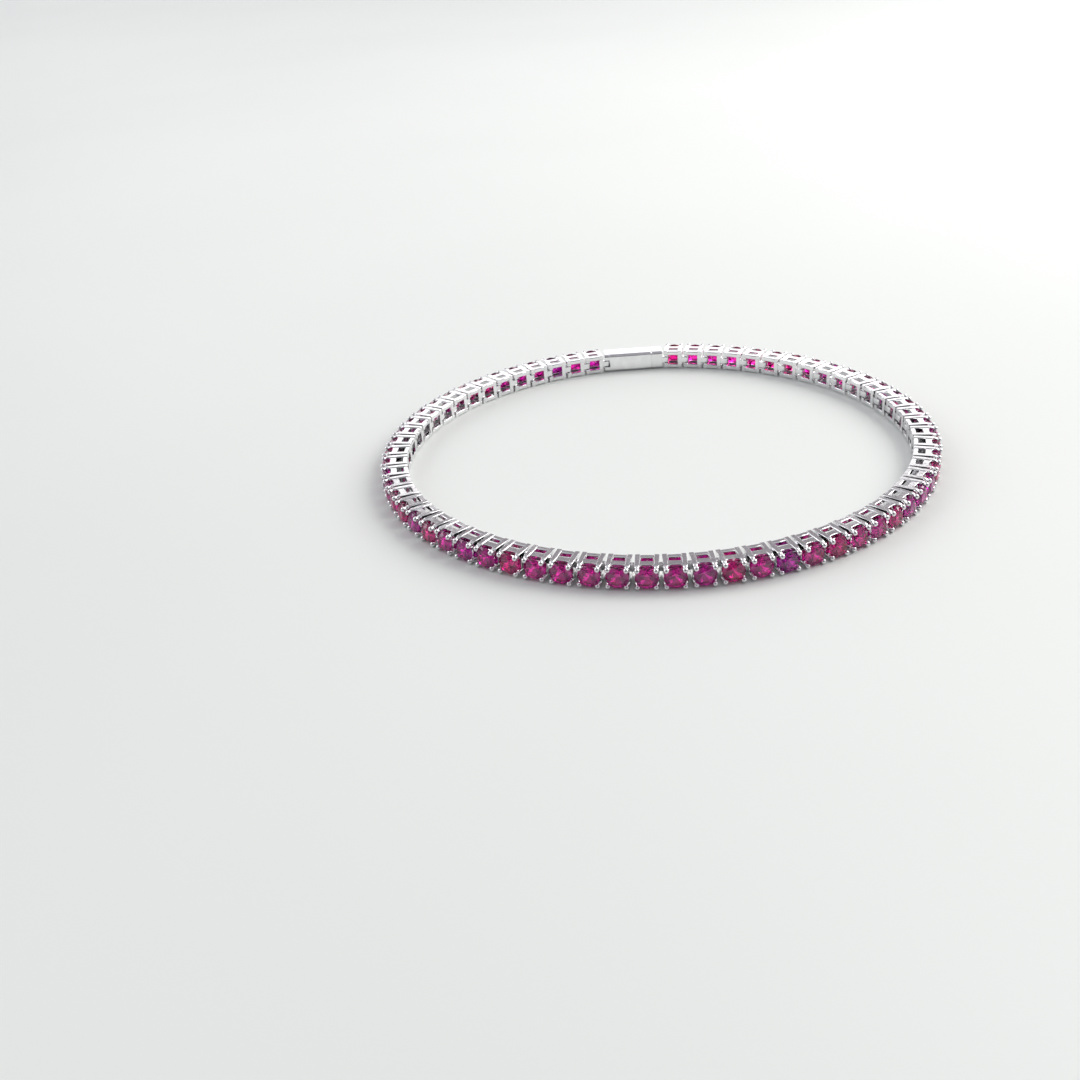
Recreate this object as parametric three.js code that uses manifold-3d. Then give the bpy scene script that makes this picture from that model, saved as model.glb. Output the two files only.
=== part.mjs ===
// A tennis bracelet: an oval chain of square four-prong settings, each holding one round cut stone, closed
// at the back by a plain box clasp. A tongue of each setting reaches into the next one.
// The bracelet lies on its side, with its lower faces at z = 0. Millimetres, +Z up, the clasp towards +Y.
//
// A link is drawn in a frame of its own: its hinge is the z axis, x runs along the chain to the next hinge
// and y points out of the loop, to the stone's table.

import * as THREE from "three";
import { mergeVertices } from "three/addons/utils/BufferGeometryUtils.js";
import Module from "manifold-3d";

const wasm = await Module();
wasm.setup();

// Stone: a table, a ring of crown facets and a ring of pavilion facets
const STONE_DIAMETER = 2.5;
const TABLE_DIAMETER = 1.45;
const CROWN_HEIGHT = 0.4;
const PAVILION_DEPTH = 1.08;
const STONE_SIDES = 8;

// Setting: a square box with an open back, a window in each side face and a prong at each corner
const SETTING_LIP = 0.04; // from the stone's edge to the setting's outer face
const BASE_RAIL = 0.6;
const WINDOW_HEIGHT = 0.8;
const TOP_RAIL = 0.8;
const POST_WIDTH = 0.66; // from the setting's end face to the window
const GIRDLE_RISE = 0.65; // from the top rail to the stone's widest plane
const PRONG_RISE = 0.5; // from the stone's widest plane to the prong's tip
const PRONG_BITE = 0.2; // how far a prong's inner corner lies inside the stone's edge
const TIP_HEIGHT = 0.22; // the bevel of the prong's outer edges
const TIP_TAPER = 0.2;

// Hinges
const LINK_GAP = 0.27; // between the end faces of two settings, along the chain
const PIN_INSET = 0.35; // from a setting's end face to the pin in it
const PIN_HEIGHT = 0.45; // from the setting's inner face to the pin
const PIN_RADIUS = 0.13;
const PIN_SIDES = 8;
const HINGE_CLEARANCE = 0.08;
const EYE_WALL = 0.12;
const EYE_STEPS = 8; // straight stretches in the eye's hole, and in its round end
const TONGUE_WIDTH = 0.8;

// Clasp
const CLASP_LENGTH = 8.3;
const CLASP_HEIGHT = 2.6;
const CLASP_CHAMFER = 0.3;

// Loop: the line through the hinge pins
const LINKS_PER_HALF = 32;
const OVAL_RATIO = 0.934; // front to back over side to side

// Making
const WELD = 0.1; // how far two soldered shapes reach into each other
const RUN_OUT = 1; // how far a cut runs past the face that it opens

const SETTING_SIDE = STONE_DIAMETER + 2 * SETTING_LIP;
const HALF_SIDE = SETTING_SIDE / 2;
const PITCH = SETTING_SIDE + LINK_GAP;
const CLASP_PITCH = CLASP_LENGTH + LINK_GAP;

const START_X = -PIN_INSET; // the end face that holds the pin
const STONE_X = START_X + HALF_SIDE;
const INNER_Y = -PIN_HEIGHT; // the face towards the wearer
const WINDOW_Y = INNER_Y + BASE_RAIL;
const RAIL_TOP_Y = WINDOW_Y + WINDOW_HEIGHT + TOP_RAIL;
const GIRDLE_Y = RAIL_TOP_Y + GIRDLE_RISE;
const PRONG_TOP_Y = GIRDLE_Y + PRONG_RISE;

// The walls are as thick as the prongs are wide, so that each prong's inner corner carries on down the box
const HALF_WELL = (STONE_DIAMETER / 2 - PRONG_BITE) / Math.SQRT2;
const WALL = HALF_SIDE - HALF_WELL;

const EYE_RADIUS = PIN_RADIUS + HINGE_CLEARANCE;
const TONGUE_RADIUS = EYE_RADIUS + EYE_WALL;
const HALF_TONGUE = TONGUE_WIDTH / 2;
const HALF_NOTCH = HALF_TONGUE + HINGE_CLEARANCE;
const NOTCH_TOP_Y = TONGUE_RADIUS + HINGE_CLEARANCE;
const NOTCH_END_X = Math.max(START_X + WALL, TONGUE_RADIUS) + HINGE_CLEARANCE;

const whiteMetal = { color: 0xd9dadd, metalness: 1, roughness: 0.18, flatShading: true };

// A closed geometry as a solid that can be joined and cut
function solidOf(geometry) {
  const bare = new THREE.BufferGeometry();
  bare.setAttribute("position", geometry.getAttribute("position"));
  bare.setIndex(geometry.getIndex());
  const merged = mergeVertices(bare, 1e-5);
  const mesh = new wasm.Mesh({
    numProp: 3,
    vertProperties: merged.getAttribute("position").array,
    triVerts: new Uint32Array(merged.getIndex().array),
  });
  return new wasm.Manifold(mesh);
}

function geometryOf(solid) {
  const mesh = solid.getMesh();
  const geometry = new THREE.BufferGeometry();
  geometry.setAttribute("position", new THREE.BufferAttribute(mesh.vertProperties, 3));
  geometry.setIndex(new THREE.BufferAttribute(mesh.triVerts, 1));
  return geometry;
}

// A box between two corners
function box(x0, x1, y0, y1, z0, z1) {
  const geometry = new THREE.BoxGeometry(x1 - x0, y1 - y0, z1 - z0);
  return solidOf(geometry.translate((x0 + x1) / 2, (y0 + y1) / 2, (z0 + z1) / 2));
}

const outline = (points) => new THREE.Shape(points.map(([x, y]) => new THREE.Vector2(x, y)));

// A bar of one section, with its middle at z = 0
function bar(section, length) {
  // An arc in the section gets twice as many stretches as curveSegments says
  const options = { depth: length, curveSegments: EYE_STEPS / 2, bevelEnabled: false };
  const geometry = new THREE.ExtrudeGeometry(section, options);
  return geometry.translate(0, 0, -length / 2);
}

// The setting seen from any of its four sides: a wall with a prong at each end, bevelled at its tip
function wallOutline() {
  const shoulder = PRONG_TOP_Y - TIP_HEIGHT;
  const right = [
    [HALF_SIDE, INNER_Y],
    [HALF_SIDE, shoulder],
    [HALF_SIDE - TIP_TAPER, PRONG_TOP_Y],
    [HALF_WELL, PRONG_TOP_Y],
    [HALF_WELL, RAIL_TOP_Y],
  ];
  const left = right.map(([x, y]) => [-x, y]).reverse();
  return outline([...right, ...left]);
}

function stone() {
  // Its flat sides face the prongs and lie at half the diameter, so its corners lie further out
  const cornerRatio = 1 / Math.cos(Math.PI / STONE_SIDES);
  const profile = [
    new THREE.Vector2(0, -PAVILION_DEPTH),
    new THREE.Vector2((STONE_DIAMETER / 2) * cornerRatio, 0),
    new THREE.Vector2((TABLE_DIAMETER / 2) * cornerRatio, CROWN_HEIGHT),
    new THREE.Vector2(0, CROWN_HEIGHT),
  ];
  const geometry = new THREE.LatheGeometry(profile, STONE_SIDES, Math.PI / STONE_SIDES);
  return solidOf(geometry.translate(STONE_X, GIRDLE_Y, 0));
}

function setting() {
  const alongZ = bar(wallOutline(), SETTING_SIDE);
  const alongX = alongZ.clone().rotateY(Math.PI / 2);
  const walls = solidOf(alongZ.translate(STONE_X, 0, 0)).intersect(solidOf(alongX.translate(STONE_X, 0, 0)));
  const well = box(
    STONE_X - HALF_WELL, STONE_X + HALF_WELL, INNER_Y - RUN_OUT, RAIL_TOP_Y + RUN_OUT, -HALF_WELL, HALF_WELL,
  );
  const halfWindow = HALF_SIDE - POST_WIDTH;
  const windows = box(
    STONE_X - halfWindow, STONE_X + halfWindow, WINDOW_Y, WINDOW_Y + WINDOW_HEIGHT,
    -HALF_SIDE - RUN_OUT, HALF_SIDE + RUN_OUT,
  );
  return walls.subtract(well).subtract(windows).add(stone());
}

// A tongue that is soldered at both ends, to its own body and to the next, whose pin is at x = span
function fixedTongue(span) {
  const nextFace = span + START_X;
  return box(
    nextFace - LINK_GAP - WELD, nextFace + WELD, -TONGUE_RADIUS, TONGUE_RADIUS, -HALF_TONGUE, HALF_TONGUE,
  );
}

// A tongue that ends in an eye round the next body's pin, at x = span
function eyeTongue(span) {
  const start = span + START_X - LINK_GAP - WELD;
  const side = new THREE.Shape();
  side.moveTo(start, -TONGUE_RADIUS);
  side.lineTo(span, -TONGUE_RADIUS);
  side.absarc(span, 0, TONGUE_RADIUS, -Math.PI / 2, Math.PI / 2, false);
  side.lineTo(start, TONGUE_RADIUS);
  const eye = new THREE.Path();
  eye.absarc(span, 0, EYE_RADIUS, 0, 2 * Math.PI, true);
  side.holes.push(eye);
  return solidOf(bar(side, TONGUE_WIDTH));
}

// Cuts the slot that takes the last body's eye, and puts the pin across it
function withPin(body) {
  const notch = box(
    START_X - RUN_OUT, NOTCH_END_X, INNER_Y - RUN_OUT, NOTCH_TOP_Y, -HALF_NOTCH, HALF_NOTCH,
  );
  const length = 2 * (HALF_NOTCH + WELD);
  const pin = new THREE.CylinderGeometry(PIN_RADIUS, PIN_RADIUS, length, PIN_SIDES).rotateX(Math.PI / 2);
  return body.subtract(notch).add(solidOf(pin));
}

function clasp() {
  const flat = HALF_SIDE - CLASP_CHAMFER;
  const top = INNER_Y + CLASP_HEIGHT;
  const right = [
    [flat, INNER_Y],
    [HALF_SIDE, INNER_Y + CLASP_CHAMFER],
    [HALF_SIDE, top - CLASP_CHAMFER],
    [flat, top],
  ];
  const left = right.map(([x, y]) => [-x, y]).reverse();
  const body = bar(outline([...right, ...left]), CLASP_LENGTH).rotateY(Math.PI / 2);
  return withPin(solidOf(body.translate(START_X + CLASP_LENGTH / 2, 0, 0))).add(eyeTongue(CLASP_PITCH));
}

// The hinge pins of half a loop, from the clasp to the front, each one pitch from the last, on an oval
function pinsOn(halfWidth) {
  const halfDepth = halfWidth * OVAL_RATIO;
  const at = (angle) => new THREE.Vector2(halfWidth * Math.sin(angle), halfDepth * Math.cos(angle));
  let angle = Math.asin(CLASP_PITCH / 2 / halfWidth);
  const pins = [at(angle)];
  for (let k = 0; k < LINKS_PER_HALF; k += 1) {
    let near = angle;
    let far = angle + Math.PI / 4;
    for (let step = 0; step < 50; step += 1) {
      const middle = (near + far) / 2;
      if (at(middle).distanceTo(pins[k]) < PITCH) near = middle;
      else far = middle;
    }
    angle = near;
    pins.push(at(angle));
  }
  return { pins, angle };
}

// The oval is of the size that lets the two halves meet at the front, on the middle line
function halfLoop() {
  let small = CLASP_PITCH;
  let large = LINKS_PER_HALF * PITCH;
  for (let step = 0; step < 60; step += 1) {
    const middle = (small + large) / 2;
    if (pinsOn(middle).angle > Math.PI) small = middle;
    else large = middle;
  }
  return pinsOn(large).pins;
}

// Takes a body from its own frame to the loop, with its pin at one point and the next body's at another
function placement(from, to) {
  const direction = Math.atan2(to.y - from.y, to.x - from.x);
  return new THREE.Matrix4().makeRotationZ(direction).setPosition(from.x, from.y, HALF_SIDE);
}

// Half the loop: its first setting has a pin for its neighbour's eye, and its last an eye of its own
function chain(pins) {
  const plain = setting();
  const first = withPin(plain);
  const links = pins.slice(1).map((to, k) => {
    const body = k === 0 ? first : plain;
    const tongue = k === LINKS_PER_HALF - 1 ? eyeTongue(PITCH) : fixedTongue(PITCH);
    return solidOf(geometryOf(body.add(tongue)).applyMatrix4(placement(pins[k], to)));
  });
  return geometryOf(links.reduce((whole, link) => whole.add(link)));
}

const rightPins = halfLoop();
const leftPins = rightPins.map((pin) => new THREE.Vector2(-pin.x, pin.y)).reverse();

const pieces = {
  chain_right: chain(rightPins),
  chain_left: chain(leftPins),
  clasp: geometryOf(clasp()).applyMatrix4(placement(leftPins[LINKS_PER_HALF], rightPins[0])),
};

const bracelet = new THREE.Group();
for (const [name, geometry] of Object.entries(pieces)) {
  const mesh = new THREE.Mesh(geometry, new THREE.MeshStandardMaterial(whiteMetal));
  mesh.name = name;
  bracelet.add(mesh);
}

// The origin is under the middle of the bracelet
const middle = new THREE.Box3().setFromObject(bracelet).getCenter(new THREE.Vector3());
bracelet.position.set(-middle.x, -middle.y, 0);

export default bracelet;
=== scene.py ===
import math
import random

import bmesh
import bpy
from mathutils import Matrix, Vector


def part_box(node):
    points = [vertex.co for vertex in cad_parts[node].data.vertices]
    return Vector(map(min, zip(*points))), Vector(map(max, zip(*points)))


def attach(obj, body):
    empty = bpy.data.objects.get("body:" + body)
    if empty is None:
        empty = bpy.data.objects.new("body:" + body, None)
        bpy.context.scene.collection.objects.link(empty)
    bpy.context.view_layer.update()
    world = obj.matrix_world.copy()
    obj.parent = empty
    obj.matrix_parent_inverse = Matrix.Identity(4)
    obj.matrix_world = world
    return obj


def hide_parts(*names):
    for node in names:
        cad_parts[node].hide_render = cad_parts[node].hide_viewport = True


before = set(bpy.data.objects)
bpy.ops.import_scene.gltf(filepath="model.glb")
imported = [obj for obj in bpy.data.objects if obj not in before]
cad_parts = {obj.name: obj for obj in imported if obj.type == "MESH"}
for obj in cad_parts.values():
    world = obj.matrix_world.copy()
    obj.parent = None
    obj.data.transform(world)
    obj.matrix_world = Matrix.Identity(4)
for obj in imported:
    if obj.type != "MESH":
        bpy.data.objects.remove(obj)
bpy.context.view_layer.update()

# A tennis bracelet: pink stones in white metal four-prong settings, hinged in an oval that lies on its side.
# Shapes are drawn in millimetres, in a link's own frame, and scaled to metres as they are put in place.
# In that frame the hinge is the z axis, x runs along the chain and y points out of the loop.
MM = 0.001

# The part's own sizes
STONE_DIAMETER = 2.5
TABLE_DIAMETER = 1.45
CROWN_HEIGHT = 0.4
PAVILION_DEPTH = 1.08
SETTING_LIP = 0.04
BASE_RAIL = 0.6
WINDOW_HEIGHT = 0.8
TOP_RAIL = 0.8
POST_WIDTH = 0.66
GIRDLE_RISE = 0.65
PRONG_RISE = 0.5
PRONG_BITE = 0.2
LINK_GAP = 0.27
PIN_INSET = 0.35
PIN_HEIGHT = 0.45
PIN_RADIUS = 0.13
HINGE_CLEARANCE = 0.08
EYE_WALL = 0.12
TONGUE_WIDTH = 0.8
CLASP_LENGTH = 8.3
CLASP_HEIGHT = 2.6
CLASP_CHAMFER = 0.3
LINKS_PER_HALF = 32
OVAL_RATIO = 0.934

# Finer sizes that only the finished surface has: first the posts, their beads and the plates between them
BEAD_RADIUS = 0.31
BEAD_LATITUDES = (-38, -19, 0, 19, 38, 57, 74, 85)
NECK_RADIUS = 0.215
NECK_DROP = 0.24
PLATE_RECESS = 0.07
PLATE_THICKNESS = 0.54
PLATE_OVERLAP = 0.06
JAMB_OVERLAP = 0.2
JAMB_INSET = 0.002
BASE_ROUNDING = 0.1
EDGE_ROUNDING = 0.045
ARCH_SAG = 0.06
ARCH_RISE = 0.24
ARCH_STEPS = 6

# The same for the hinges
TONGUE_ROUNDING = 0.06
TONGUE_STEPS = 12
PIN_SEAT = 0.06
PIN_DOME = 0.03
PIN_END_SHARE = 0.8

# The same for the stones
GIRDLE_THICKNESS = 0.05
CULET_LIFT = 0.02
STAR_SHARE = 0.76
LOWER_FACET_SHARE = 0.24

# The same for the clasp, whose core shows in the seam before its cap
CLASP_ROUNDING = 0.04
CAP_ROUNDING = 0.05
CAP_LENGTH = 1.6
SEAM_WIDTH = 0.09
SEAM_DEPTH = 0.07
CORE_WIDTH_SHARE = 0.93
CORE_HEIGHT_SHARE = 0.94
CORE_ROUNDING = 0.02
CORE_OVERLAP = 0.2
BODY_OVERLAP = 0.05

# A post's sections, each with its height above the foot or its depth below the neck, how much slimmer it is
# than the post, and the radius of its corners
FOOT_SECTIONS = [
    (0, 0.05, 0.03),
    (0.015, 0.018, 0.06),
    (0.05, 0, 0.06),
]
SHOULDER_SECTIONS = [
    (0.42, 0, 0.06),
    (0.2, 0.012, 0.15),
    (0.07, 0.03, 0.2),
]

# How far each link is turned out of line at most, and how far a stone is commonly tilted, in degrees
LINK_SWAY = 0.9
STONE_TILT = 1.4

# Faces larger than these, in square millimetres, are flat: the first where they are square to the link.
# Edges are bevelled where their faces meet at more than the first angle, and drawn sharp from the second on
FLAT_AREA = 0.03
BROAD_AREA = 0.3
BEVEL_ANGLE = math.radians(40)
SHARP_ANGLE = math.radians(38)

SETTING_SIDE = STONE_DIAMETER + 2 * SETTING_LIP
HALF_SIDE = SETTING_SIDE / 2
HALF_WELL = (STONE_DIAMETER / 2 - PRONG_BITE) / math.sqrt(2)
WALL = HALF_SIDE - HALF_WELL
PITCH = SETTING_SIDE + LINK_GAP
CLASP_PITCH = CLASP_LENGTH + LINK_GAP
PLATE_INSIDE = HALF_SIDE - PLATE_RECESS - PLATE_THICKNESS
PLATE_REACH = HALF_WELL + PLATE_OVERLAP
START_X = -PIN_INSET
STONE_X = START_X + HALF_SIDE
INNER_Y = -PIN_HEIGHT
WINDOW_Y = INNER_Y + BASE_RAIL
RAIL_TOP_Y = WINDOW_Y + WINDOW_HEIGHT + TOP_RAIL
GIRDLE_Y = RAIL_TOP_Y + GIRDLE_RISE
PRONG_TOP_Y = GIRDLE_Y + PRONG_RISE
TONGUE_RADIUS = PIN_RADIUS + HINGE_CLEARANCE + EYE_WALL

# Camera, fitted to the photograph: its turn round the bracelet, its dip and its roll in degrees, and how far
# the bracelet's origin lies to the right of it, above it and in front of it
CAMERA_TURN = -1.06
CAMERA_DIP = 29.22
CAMERA_ROLL = 4.40
ORIGIN_IN_VIEW = (14.60, 10.46, 162.57)
FOCAL_PIXELS = 1300
PHOTO_PIXELS = 1080
SENSOR_WIDTH = 36.0

# The room: where its dim side lies, and its light from the side opposite that to the dim side itself
DIM_SIDE = (-0.09, -0.87, 0.48)
ROOM_TONES = [
    (0.24, (0.30, 0.28, 0.30)),
    (0.42, (0.62, 0.62, 0.65)),
    (0.82, (0.60, 0.60, 0.64)),
    (0.94, (0.14, 0.14, 0.15)),
]

# The lamps: the name, place, size, power in watts and colour of each
PANELS = [
    ("window_right", (0.38, 0.18, 0.34), (0.34, 0.41), 2.25, (1, 0.99, 0.96)),
    ("window_left", (-0.60, 0.25, 0.42), (0.4, 0.5), 1.2, (0.95, 0.97, 1)),
    ("pale_wall", (0.08, 0.96, 0.295), (1.2, 0.37), 1.7, (1, 1, 1)),
]

# Tones of the metal and the floor, and colours of the stones from purplish pink to rose
METAL_TONES = [(0.3, (0.80, 0.79, 0.80)), (0.7, (0.90, 0.90, 0.91))]
FLOOR_TONES = [(0.3, (0.80, 0.82, 0.79)), (0.7, (0.84, 0.86, 0.83))]
STONE_TONES = [
    (0.1, (0.46, 0.008, 0.36)),
    (0.45, (0.66, 0.008, 0.30)),
    (0.8, (0.74, 0.02, 0.36)),
    (1.0, (0.68, 0.008, 0.22)),
]

random.seed(7)


# Mesh helpers

def slab(bm, outline, start, end, rounding=EDGE_ROUNDING, across=False, segments=2):
    """An outline of (u, y) points made solid from start to end along z, or along x where across is set."""
    def corner(u, y, w):
        return (w, y, u) if across else (u, y, w)

    low = [bm.verts.new(corner(u, y, start)) for u, y in outline]
    high = [bm.verts.new(corner(u, y, end)) for u, y in outline]
    faces = [bm.faces.new(low), bm.faces.new(high)]
    for k in range(len(outline)):
        faces.append(bm.faces.new((low[k - 1], low[k], high[k], high[k - 1])))
    bmesh.ops.recalc_face_normals(bm, faces=faces)
    edges = dict.fromkeys(edge for face in faces for edge in face.edges)
    sharp = [edge for edge in edges if edge.calc_face_angle(0) > BEVEL_ANGLE]
    bmesh.ops.bevel(
        bm, geom=sharp, offset=rounding, offset_type="OFFSET", segments=segments, profile=0.5, affect="EDGES",
        clamp_overlap=True,
    )


def rectangle(u0, u1, y0, y1):
    return [(u0, y0), (u1, y0), (u1, y1), (u0, y1)]


def loft(bm, rings):
    """A closed body through rings of points, with flat ends."""
    rows = [[bm.verts.new(point) for point in ring] for ring in rings]
    faces = [bm.faces.new(rows[0]), bm.faces.new(rows[-1])]
    for near, far in zip(rows, rows[1:]):
        for k in range(len(near)):
            faces.append(bm.faces.new((near[k - 1], near[k], far[k], far[k - 1])))
    bmesh.ops.recalc_face_normals(bm, faces=faces)


def rounded_square(x, y, z, half, corner):
    """Sixteen points of a square with round corners, or of a circle where corner equals half."""
    points = []
    for quarter, (sx, sz) in enumerate([(1, 1), (-1, 1), (-1, -1), (1, -1)]):
        for step in range(4):
            angle = math.radians(90 * quarter + 11.25 + 22.5 * step)
            u = sx * (half - corner) + corner * math.cos(angle)
            w = sz * (half - corner) + corner * math.sin(angle)
            points.append((x + u, y, z + w))
    return points


def shade(bm):
    """Smooth on beads and rounded edges, flat on flat faces, sharp where two faces meet at a clear angle."""
    bm.normal_update()
    for face in bm.faces:
        area = face.calc_area()
        square_on = max(abs(part) for part in face.normal) > 0.999
        face.smooth = area < FLAT_AREA or (area < BROAD_AREA and not square_on)
    for edge in bm.edges:
        edge.smooth = edge.calc_face_angle(0) < SHARP_ANGLE


def mesh_of(bm, name):
    mesh = bpy.data.meshes.new(name)
    bm.to_mesh(mesh)
    bm.free()
    return mesh


def repeated(source, placements):
    """One mesh that holds a copy of the source at each placement."""
    whole = bmesh.new()
    for placement in placements:
        copy = source.copy()
        copy.transform(placement)
        whole.from_mesh(copy)
        bpy.data.meshes.remove(copy)
    return whole


def add_piece(name, bm, material, replaced):
    mesh = mesh_of(bm, name)
    mesh.materials.append(material)
    piece = bpy.data.objects.new(name, mesh)
    bpy.context.scene.collection.objects.link(piece)
    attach(piece, "root")
    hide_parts(replaced)


# The loop's hinges, worked out as the part's own are

def hinges_on(half_width):
    half_depth = half_width * OVAL_RATIO

    def at(angle):
        return Vector((half_width * math.sin(angle), half_depth * math.cos(angle)))

    angle = math.asin(CLASP_PITCH / 2 / half_width)
    hinges = [at(angle)]
    for k in range(LINKS_PER_HALF):
        near, far = angle, angle + math.pi / 4
        for _ in range(50):
            middle = (near + far) / 2
            if (at(middle) - hinges[k]).length < PITCH:
                near = middle
            else:
                far = middle
        angle = near
        hinges.append(at(angle))
    return hinges, angle


def half_loop():
    small, large = CLASP_PITCH, LINKS_PER_HALF * PITCH
    for _ in range(60):
        middle = (small + large) / 2
        if hinges_on(middle)[1] > math.pi:
            small = middle
        else:
            large = middle
    return hinges_on(large)[0]


RIGHT_HINGES = half_loop()
LEFT_HINGES = [Vector((-hinge.x, hinge.y)) for hinge in reversed(RIGHT_HINGES)]

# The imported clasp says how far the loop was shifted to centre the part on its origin
clasp_low, clasp_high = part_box("clasp")
SHIFT = Vector((
    clasp_low.x / MM - (LEFT_HINGES[-1].x + START_X),
    clasp_high.y / MM - (LEFT_HINGES[-1].y + INNER_Y + CLASP_HEIGHT),
))


def placement(start, end):
    """Takes a link's own frame, in millimetres, to its place on the loop, in metres."""
    direction = end - start
    turn = Matrix.Rotation(math.atan2(direction.y, direction.x), 4, "Z")
    move = Matrix.Translation((start.x + SHIFT.x, start.y + SHIFT.y, HALF_SIDE))
    return Matrix.Scale(MM, 4) @ move @ turn


def placements(hinges):
    return [placement(start, end) for start, end in zip(hinges, hinges[1:])]


def swayed(matrix):
    """A small turn of a link about its middle, since no two hinges in a chain lie quite alike."""
    middle = Vector((STONE_X, 0, 0))
    lean = Matrix.Rotation(math.radians(random.uniform(-LINK_SWAY, LINK_SWAY)), 4, "X")
    swing = Matrix.Rotation(math.radians(random.uniform(-LINK_SWAY, LINK_SWAY)), 4, "Z")
    return matrix @ Matrix.Translation(middle) @ lean @ swing @ Matrix.Translation(-middle)


# Settings

def add_post(bm, sx, sz):
    """The square post of one corner, which draws in to a neck and ends in a round bead."""
    half = WALL / 2
    x, z = STONE_X + sx * (HALF_SIDE - half), sz * (HALF_SIDE - half)
    bead_x, bead_z = STONE_X + sx * (HALF_SIDE - BEAD_RADIUS), sz * (HALF_SIDE - BEAD_RADIUS)
    bead_y = PRONG_TOP_Y - BEAD_RADIUS
    neck_y = bead_y - NECK_DROP
    rings = []
    for height, slimming, corner in FOOT_SECTIONS:
        rings.append(rounded_square(x, INNER_Y + height, z, half - slimming, corner))
    for depth, slimming, corner in SHOULDER_SECTIONS:
        rings.append(rounded_square(x, neck_y - depth, z, half - slimming, corner))
    rings.append(rounded_square((x + bead_x) / 2, neck_y, (z + bead_z) / 2, NECK_RADIUS, NECK_RADIUS))
    for latitude in BEAD_LATITUDES:
        radius = BEAD_RADIUS * math.cos(math.radians(latitude))
        y = bead_y + BEAD_RADIUS * math.sin(math.radians(latitude))
        rings.append(rounded_square(bead_x, y, bead_z, radius, radius))
    loft(bm, rings)


def arched(y_low):
    """A plate whose upper edge is an arch that climbs to the posts at both sides."""
    top = []
    for step in range(2 * ARCH_STEPS + 1):
        share = 1 - step / ARCH_STEPS
        top.append((PLATE_REACH * share, RAIL_TOP_Y - ARCH_SAG + ARCH_RISE * share ** 4))
    return [(-PLATE_REACH, y_low), (PLATE_REACH, y_low)] + top


def add_side(bm, side):
    """The plate of a side face, recessed between its posts, round the window."""
    window = HALF_SIDE - POST_WIDTH
    near, far = sorted((side * PLATE_INSIDE, side * (PLATE_INSIDE + PLATE_THICKNESS)))

    def shifted(outline):
        return [(STONE_X + u, y) for u, y in outline]

    base = rectangle(-PLATE_REACH, PLATE_REACH, INNER_Y, WINDOW_Y)
    slab(bm, shifted(base), near, far, BASE_ROUNDING, segments=3)
    slab(bm, shifted(arched(WINDOW_Y + WINDOW_HEIGHT)), near, far)
    for u0, u1 in ((-PLATE_REACH, -window), (window, PLATE_REACH)):
        jamb = rectangle(u0, u1, WINDOW_Y - JAMB_OVERLAP, WINDOW_Y + WINDOW_HEIGHT + JAMB_OVERLAP)
        slab(bm, shifted(jamb), near + JAMB_INSET, far - JAMB_INSET)


def add_ends(bm):
    """The two end plates: the first has the slot for the last link's tongue."""
    slot = TONGUE_WIDTH / 2 + HINGE_CLEARANCE
    slot_top = TONGUE_RADIUS + HINGE_CLEARANCE
    whole = arched(INNER_Y)
    slotted = [
        (slot, INNER_Y), *whole[1:], (-PLATE_REACH, INNER_Y), (-slot, INNER_Y),
        (-slot, slot_top), (slot, slot_top),
    ]
    end = START_X + SETTING_SIDE
    for outline, outside in ((slotted, START_X + PLATE_RECESS), (whole, end - PLATE_RECESS)):
        inside = STONE_X + math.copysign(PLATE_INSIDE, outside - STONE_X)
        slab(bm, outline, *sorted((inside, outside)), across=True)


def add_tongue(bm, span, start):
    """A tongue that ends round the next body's pin, at x = span."""
    outline = [(start, -TONGUE_RADIUS)]
    for step in range(TONGUE_STEPS + 1):
        angle = math.radians(-90 + 180 / TONGUE_STEPS * step)
        outline.append((span + TONGUE_RADIUS * math.cos(angle), TONGUE_RADIUS * math.sin(angle)))
    outline.append((start, TONGUE_RADIUS))
    slab(bm, outline, -TONGUE_WIDTH / 2, TONGUE_WIDTH / 2, TONGUE_ROUNDING)


def add_pin(bm):
    """The hinge pin, with slightly domed ends inside the side plates."""
    end = PLATE_INSIDE + PIN_SEAT
    shoulder = end - PIN_DOME
    rings = []
    for z, share in ((-end, PIN_END_SHARE), (-shoulder, 1), (shoulder, 1), (end, PIN_END_SHARE)):
        ring = rounded_square(0, 0, 0, PIN_RADIUS * share, PIN_RADIUS * share)
        rings.append([(u, w, z) for u, _, w in ring])
    loft(bm, rings)


def link_mesh():
    bm = bmesh.new()
    for sx in (-1, 1):
        for sz in (-1, 1):
            add_post(bm, sx, sz)
    add_side(bm, -1)
    add_side(bm, 1)
    add_ends(bm)
    add_tongue(bm, PITCH, START_X + SETTING_SIDE - WALL / 2)
    add_pin(bm)
    shade(bm)
    return mesh_of(bm, "link")


# Stones

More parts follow.
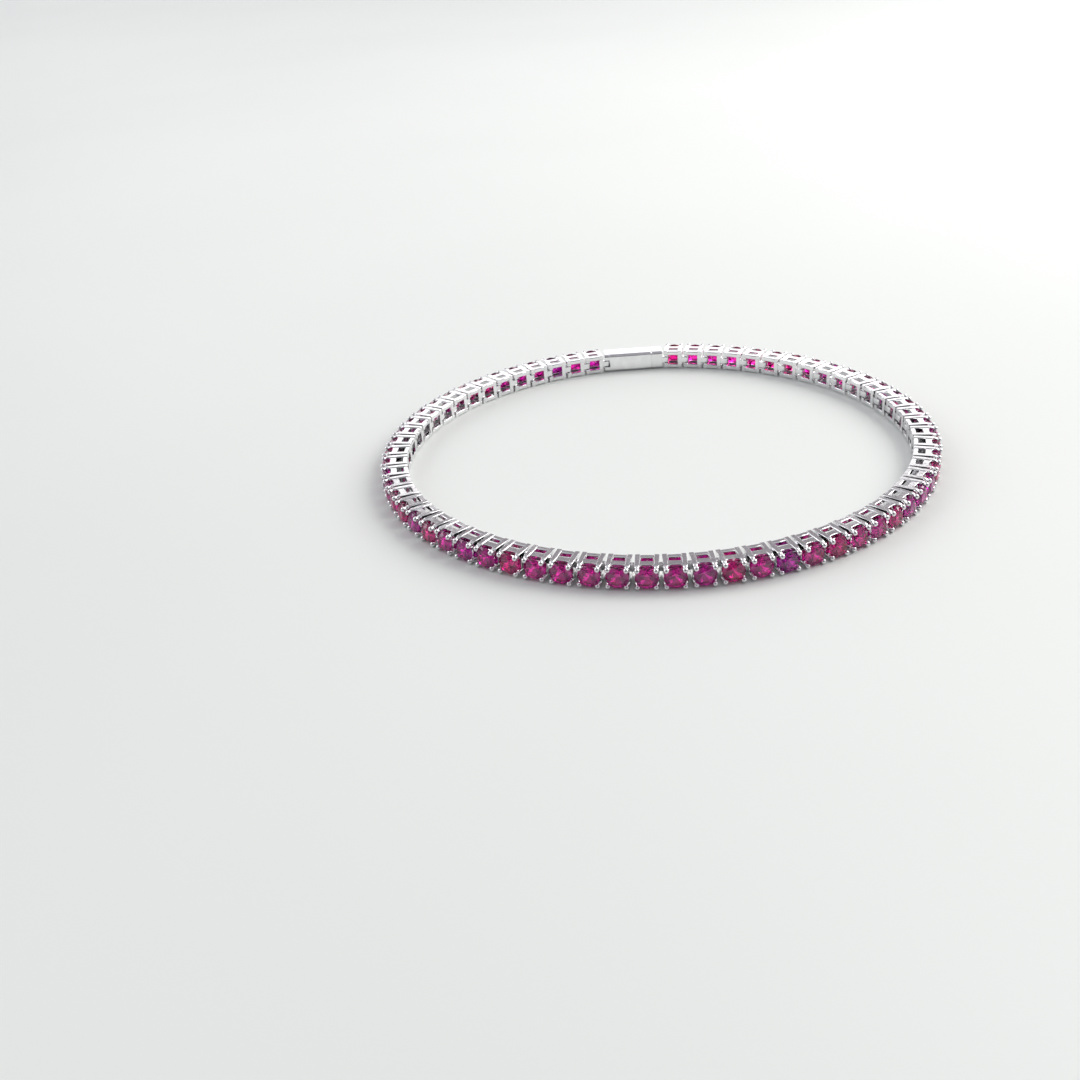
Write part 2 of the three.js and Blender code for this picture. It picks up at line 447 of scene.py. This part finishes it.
def brilliant_mesh():
    """A round brilliant: table, stars, kites and halves above the girdle, halves and mains below."""
    radius = STONE_DIAMETER / 2
    table = TABLE_DIAMETER / 2
    culet_z = -GIRDLE_THICKNESS - PAVILION_DEPTH + CULET_LIFT
    half_step = math.cos(math.radians(22.5))
    star = STAR_SHARE * radius
    star_z = CROWN_HEIGHT * (radius - star * half_step) / (radius - table)
    low = LOWER_FACET_SHARE * radius
    low_z = culet_z - (culet_z + GIRDLE_THICKNESS) * low * half_step / radius

    bm = bmesh.new()

    def ring(count, first, r, z):
        angles = [math.radians(first + 360 * k / count) for k in range(count)]
        return [bm.verts.new((r * math.cos(a), r * math.sin(a), z)) for a in angles]

    tables = ring(8, 0, table, CROWN_HEIGHT)
    stars = ring(8, 22.5, star, star_z)
    upper = ring(16, 0, radius, 0)
    lower = ring(16, 0, radius, -GIRDLE_THICKNESS)
    lows = ring(8, 22.5, low, low_z)
    culet = bm.verts.new((0, 0, culet_z))
    bm.faces.new(tables)
    for i in range(8):
        middle = 2 * i
        after = (middle + 2) % 16
        bm.faces.new((tables[i], stars[i], tables[(i + 1) % 8]))
        bm.faces.new((tables[i], stars[i - 1], upper[middle], stars[i]))
        bm.faces.new((stars[i], upper[middle], upper[middle + 1]))
        bm.faces.new((stars[i], upper[middle + 1], upper[after]))
        bm.faces.new((lows[i], lower[middle], lower[middle + 1]))
        bm.faces.new((lows[i], lower[middle + 1], lower[after]))
        bm.faces.new((culet, lows[i - 1], lower[middle], lows[i]))
    for k in range(16):
        bm.faces.new((upper[k - 1], upper[k], lower[k], lower[k - 1]))
    bmesh.ops.recalc_face_normals(bm, faces=bm.faces)
    return mesh_of(bm, "brilliant")


def stones(source, links):
    """A stone in each link, each turned its own way and a little off square, with a tone of its own."""
    whole = bmesh.new()
    tone = whole.faces.layers.float.new("tone")
    done = 0
    for link in links:
        seat = Matrix.Translation((STONE_X, GIRDLE_Y, 0)) @ Matrix.Rotation(math.radians(-90), 4, "X")
        spin = Matrix.Rotation(random.uniform(0, math.radians(45)), 4, "Z")
        tip = Matrix.Rotation(math.radians(random.gauss(0, STONE_TILT)), 4, "X")
        roll = Matrix.Rotation(math.radians(random.gauss(0, STONE_TILT)), 4, "Y")
        copy = source.copy()
        copy.transform(link @ seat @ tip @ roll @ spin)
        whole.from_mesh(copy)
        bpy.data.meshes.remove(copy)
        whole.faces.ensure_lookup_table()
        value = random.random()
        for face in whole.faces[done:]:
            face[tone] = value
        done = len(whole.faces)
    return whole


# Clasp

def clasp_mesh():
    """A plain box with bevelled long edges and one seam, a pin at one end and a tongue at the other."""
    bm = bmesh.new()
    flat = HALF_SIDE - CLASP_CHAMFER
    top = INNER_Y + CLASP_HEIGHT
    slot = TONGUE_WIDTH / 2 + HINGE_CLEARANCE
    slot_end = TONGUE_RADIUS + HINGE_CLEARANCE
    end = START_X + CLASP_LENGTH
    seam = end - CAP_LENGTH
    right = [
        (flat, INNER_Y), (HALF_SIDE, INNER_Y + CLASP_CHAMFER), (HALF_SIDE, top - CLASP_CHAMFER), (flat, top),
    ]
    section = right + [(-u, y) for u, y in reversed(right)]
    core = []
    for u, y in section:
        core.append((u * CORE_WIDTH_SHARE, INNER_Y + SEAM_DEPTH + (y - INNER_Y) * CORE_HEIGHT_SHARE))
    slotted = [(slot, INNER_Y), *section, (-slot, INNER_Y), (-slot, slot_end), (slot, slot_end)]
    slab(bm, slotted, START_X, slot_end + BODY_OVERLAP, CLASP_ROUNDING, across=True)
    slab(bm, section, slot_end, seam, CLASP_ROUNDING, across=True)
    slab(bm, core, seam - CORE_OVERLAP, seam + CORE_OVERLAP, CORE_ROUNDING, across=True)
    slab(bm, section, seam + SEAM_WIDTH, end, CAP_ROUNDING, across=True)
    add_tongue(bm, CLASP_PITCH, end - WALL)
    add_pin(bm)
    shade(bm)
    return mesh_of(bm, "clasp_source")


# Materials

def set_tones(elements, stops):
    while len(elements) < len(stops):
        elements.new(0.5)
    for element, (position, colour) in zip(elements, stops):
        element.position = position
        element.color = (*colour, 1)


class Graph:
    """Short calls for building a node material round one Principled shader."""

    def __init__(self, name):
        self.material = bpy.data.materials.new(name)
        self.material.use_nodes = True
        self.tree = self.material.node_tree
        self.shader = self.tree.nodes["Principled BSDF"]

    def node(self, kind, inputs=None, **settings):
        node = self.tree.nodes.new(kind)
        for key, value in settings.items():
            setattr(node, key, value)
        for key, value in (inputs or {}).items():
            node.inputs[key].default_value = value
        return node

    def link(self, source, target):
        self.tree.links.new(source, target)

    def noise(self, scale, detail, stretch=(1, 1, 1)):
        place = self.node("ShaderNodeTexCoord")
        mapping = self.node("ShaderNodeMapping", {"Scale": stretch})
        noise = self.node("ShaderNodeTexNoise", {"Scale": scale, "Detail": detail})
        self.link(place.outputs["Object"], mapping.inputs["Vector"])
        self.link(mapping.outputs["Vector"], noise.inputs["Vector"])
        return noise.outputs["Fac"]

    def ramp(self, source, stops):
        ramp = self.node("ShaderNodeValToRGB")
        set_tones(ramp.color_ramp.elements, stops)
        self.link(source, ramp.inputs["Fac"])
        return ramp.outputs["Color"]

    def to_range(self, source, low, high):
        node = self.node("ShaderNodeMapRange", {"To Min": low, "To Max": high})
        self.link(source, node.inputs["Value"])
        return node.outputs["Result"]

    def bump(self, height, strength, distance, normal=None):
        node = self.node("ShaderNodeBump", {"Strength": strength, "Distance": distance})
        self.link(height, node.inputs["Height"])
        if normal:
            self.link(normal, node.inputs["Normal"])
        return node.outputs["Normal"]


def white_metal(name):
    """Bright plated silver with a faint cloudiness, fine handling scratches and a cast surface's ripple."""
    graph = Graph(name)
    shader = graph.shader
    shader.inputs["Metallic"].default_value = 1
    cloud = graph.noise(scale=900, detail=3)
    graph.link(graph.ramp(cloud, METAL_TONES), shader.inputs["Base Color"])
    wear = graph.noise(scale=2600, detail=6)
    graph.link(graph.to_range(wear, low=0.03, high=0.17), shader.inputs["Roughness"])
    waves = graph.noise(scale=1500, detail=2)
    ripple = graph.bump(waves, strength=0.15, distance=0.00003)
    scratches = graph.noise(scale=9000, detail=2, stretch=(1, 1, 0.12))
    scratched = graph.bump(scratches, strength=0.10, distance=0.000006, normal=ripple)
    graph.link(scratched, shader.inputs["Normal"])
    return graph.material


def pink_stone():
    """A deep pink transparent stone, whose tone differs from stone to stone."""
    graph = Graph("pink_stone")
    shader = graph.shader
    tone = graph.node("ShaderNodeAttribute", attribute_name="tone")
    cloud = graph.noise(scale=700, detail=2)
    mix = graph.node("ShaderNodeMath", {1: 0.25}, operation="MULTIPLY_ADD")
    graph.link(cloud, mix.inputs[0])
    graph.link(tone.outputs["Fac"], mix.inputs[2])
    graph.link(graph.ramp(mix.outputs["Value"], STONE_TONES), shader.inputs["Base Color"])
    haze = graph.noise(scale=3000, detail=4)
    graph.link(graph.to_range(haze, low=0, high=0.04), shader.inputs["Roughness"])
    shader.inputs["IOR"].default_value = 1.76
    shader.inputs["Specular IOR Level"].default_value = 0.25
    shader.inputs["Transmission Weight"].default_value = 1
    return graph.material


def pale_floor():
    """Pale and matt, with hardly seen clouds."""
    graph = Graph("floor")
    cloud = graph.noise(scale=6, detail=3)
    graph.link(graph.ramp(cloud, FLOOR_TONES), graph.shader.inputs["Base Color"])
    graph.shader.inputs["Roughness"].default_value = 0.55
    return graph.material


# Scene

def add_floor():
    bm = bmesh.new()
    bmesh.ops.create_grid(bm, x_segments=1, y_segments=1, size=3)
    mesh = mesh_of(bm, "floor")
    mesh.materials.append(pale_floor())
    floor = bpy.data.objects.new("floor", mesh)
    bpy.context.scene.collection.objects.link(floor)


def add_panel(name, place, size, power, colour):
    """A soft lamp that faces the bracelet."""
    light = bpy.data.lights.new(name, "AREA")
    light.shape = "RECTANGLE"
    light.size, light.size_y = size
    light.energy = power
    light.color = colour
    panel = bpy.data.objects.new(name, light)
    panel.location = place
    panel.rotation_euler = (-Vector(place)).to_track_quat("-Z", "Y").to_euler()
    bpy.context.scene.collection.objects.link(panel)


def add_world():
    """A pale room with one dim side."""
    world = bpy.data.worlds.new("room")
    world.use_nodes = True
    nodes, links = world.node_tree.nodes, world.node_tree.links
    place = nodes.new("ShaderNodeTexCoord")
    towards = nodes.new("ShaderNodeVectorMath")
    towards.operation = "DOT_PRODUCT"
    towards.inputs[1].default_value = DIM_SIDE
    to_unit = nodes.new("ShaderNodeMapRange")
    to_unit.inputs["From Min"].default_value = -1
    ramp = nodes.new("ShaderNodeValToRGB")
    links.new(place.outputs["Generated"], towards.inputs[0])
    links.new(towards.outputs["Value"], to_unit.inputs["Value"])
    links.new(to_unit.outputs["Result"], ramp.inputs["Fac"])
    links.new(ramp.outputs["Color"], nodes["Background"].inputs["Color"])
    set_tones(ramp.color_ramp.elements, ROOM_TONES)
    bpy.context.scene.world = world


def add_camera():
    data = bpy.data.cameras.new("camera")
    data.sensor_width = SENSOR_WIDTH
    data.lens = FOCAL_PIXELS / PHOTO_PIXELS * SENSOR_WIDTH
    data.clip_start = 0.005
    camera = bpy.data.objects.new("camera", data)
    turn = Matrix.Rotation(math.radians(-CAMERA_TURN), 4, "Z")
    dip = Matrix.Rotation(math.radians(90 - CAMERA_DIP), 4, "X")
    roll = Matrix.Rotation(math.radians(-CAMERA_ROLL), 4, "Z")
    right, up, ahead = ORIGIN_IN_VIEW
    back = Matrix.Translation(Vector((-right, -up, ahead)) * MM)
    camera.matrix_world = turn @ dip @ roll @ back
    bpy.context.scene.collection.objects.link(camera)
    bpy.context.scene.camera = camera


def add_bracelet():
    link = link_mesh()
    stone = brilliant_mesh()
    metal = white_metal("white_metal")
    pink = pink_stone()
    for side, hinges in (("right", RIGHT_HINGES), ("left", LEFT_HINGES)):
        node = "chain_" + side
        links = [swayed(matrix) for matrix in placements(hinges)]
        add_piece("settings_" + side, repeated(link, links), metal, node)
        add_piece("stones_" + side, stones(stone, links), pink, node)
    clasp = repeated(clasp_mesh(), [placement(LEFT_HINGES[-1], RIGHT_HINGES[0])])
    add_piece("clasp_box", clasp, white_metal("clasp_metal"), "clasp")


add_camera()
add_bracelet()
add_floor()
add_world()
for panel in PANELS:
    add_panel(*panel)
bpy.context.scene.view_settings.view_transform = "Standard"
